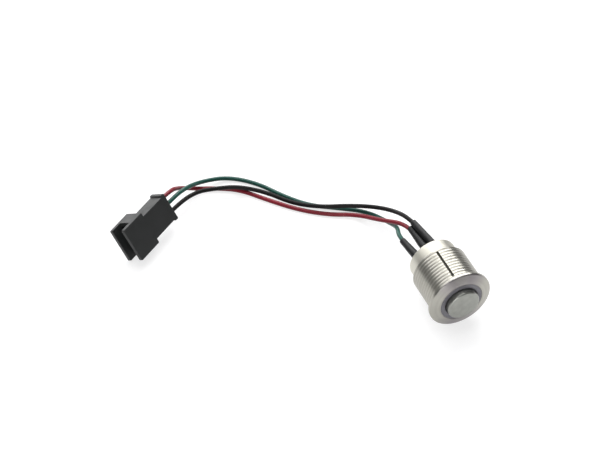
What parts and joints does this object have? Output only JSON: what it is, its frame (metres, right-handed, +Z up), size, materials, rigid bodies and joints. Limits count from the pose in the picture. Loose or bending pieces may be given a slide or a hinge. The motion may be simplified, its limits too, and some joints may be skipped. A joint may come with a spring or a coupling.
{
  "type": "anti vandal push button",
  "caption": "Metal panel push button with a raised round cap, smoky light ring, threaded short body, sleeved colour-coded leads and a wire-to-wire connector.",
  "frame": {"origin": "on the button's axis, in the plane of the flange's back face, which seats on the panel", "axes": "+Y along the button's axis towards its leads, the cap faces -Y, +Z is up with the button lying on its side"},
  "size_m": [0.0856, 0.0795, 0.018],
  "materials": {
    "turned_metal": "bright nickel with fine turning marks",
    "cap_metal": "satin, finely bead blasted",
    "light_ring": "smoky translucent moulding, unlit",
    "spring_steel": "drawn spring wire",
    "seal_rubber": "soft nitrile rubber",
    "natural_nylon": "moulded natural nylon",
    "moulded_black": "moulded black plastic",
    "contact_silver": "silver alloy",
    "terminal_brass": "stamped brass, tinned at the lug",
    "board_green": "solder-masked glass laminate",
    "chip_body": "cast clear-topped chip",
    "potting": "cast black epoxy",
    "shrink_sleeve": "satin heat-shrink tube",
    "solder": "tin solder",
    "lead_red": "extruded vinyl insulation",
    "lead_green": "extruded vinyl insulation",
    "lead_black": "extruded vinyl insulation",
    "connector_black": "moulded nylon, fine satin",
    "tinned_pin": "tinned crimp"
  },
  "bodies": {
    "body": {"housing": "turned_metal", "light_ring": "light_ring", "stem_seal": "seal_rubber", "return_spring": "spring_steel", "spacer": "natural_nylon", "light_board": "board_green", "contact_block": "moulded_black", "rear_potting": "potting", "connector_housing": "connector_black", "fixed_contact_1": "contact_silver", "fixed_contact_2": "contact_silver", "light_chip_1": "chip_body", "light_chip_2": "chip_body", "light_chip_3": "chip_body", "light_chip_4": "chip_body", "terminal_green": "terminal_brass", "sleeve_green": "shrink_sleeve", "solder_joint_green": "solder", "lead_green": "lead_green", "crimp_pin_green": "tinned_pin", "terminal_red": "terminal_brass", "sleeve_red": "shrink_sleeve", "solder_joint_red": "solder", "lead_red": "lead_red", "crimp_pin_red": "tinned_pin", "terminal_black": "terminal_brass", "sleeve_black": "shrink_sleeve", "solder_joint_black": "solder", "lead_black": "lead_black", "crimp_pin_black": "tinned_pin"},
    "button": {"push_cap": "cap_metal", "retaining_clip": "spring_steel", "plunger": "natural_nylon", "contact_bridge": "terminal_brass", "moving_contact_1": "contact_silver", "moving_contact_2": "contact_silver"}
  },
  "joints": [
    {"name": "button_press", "type": "slide", "parent": "body", "child": "button", "axis": [0, 1, 0], "range_m": [0, 0.001], "stiffness_N_per_m": 1500, "springref_m": -0.001, "deforming": ["return_spring"]}
  ]
}
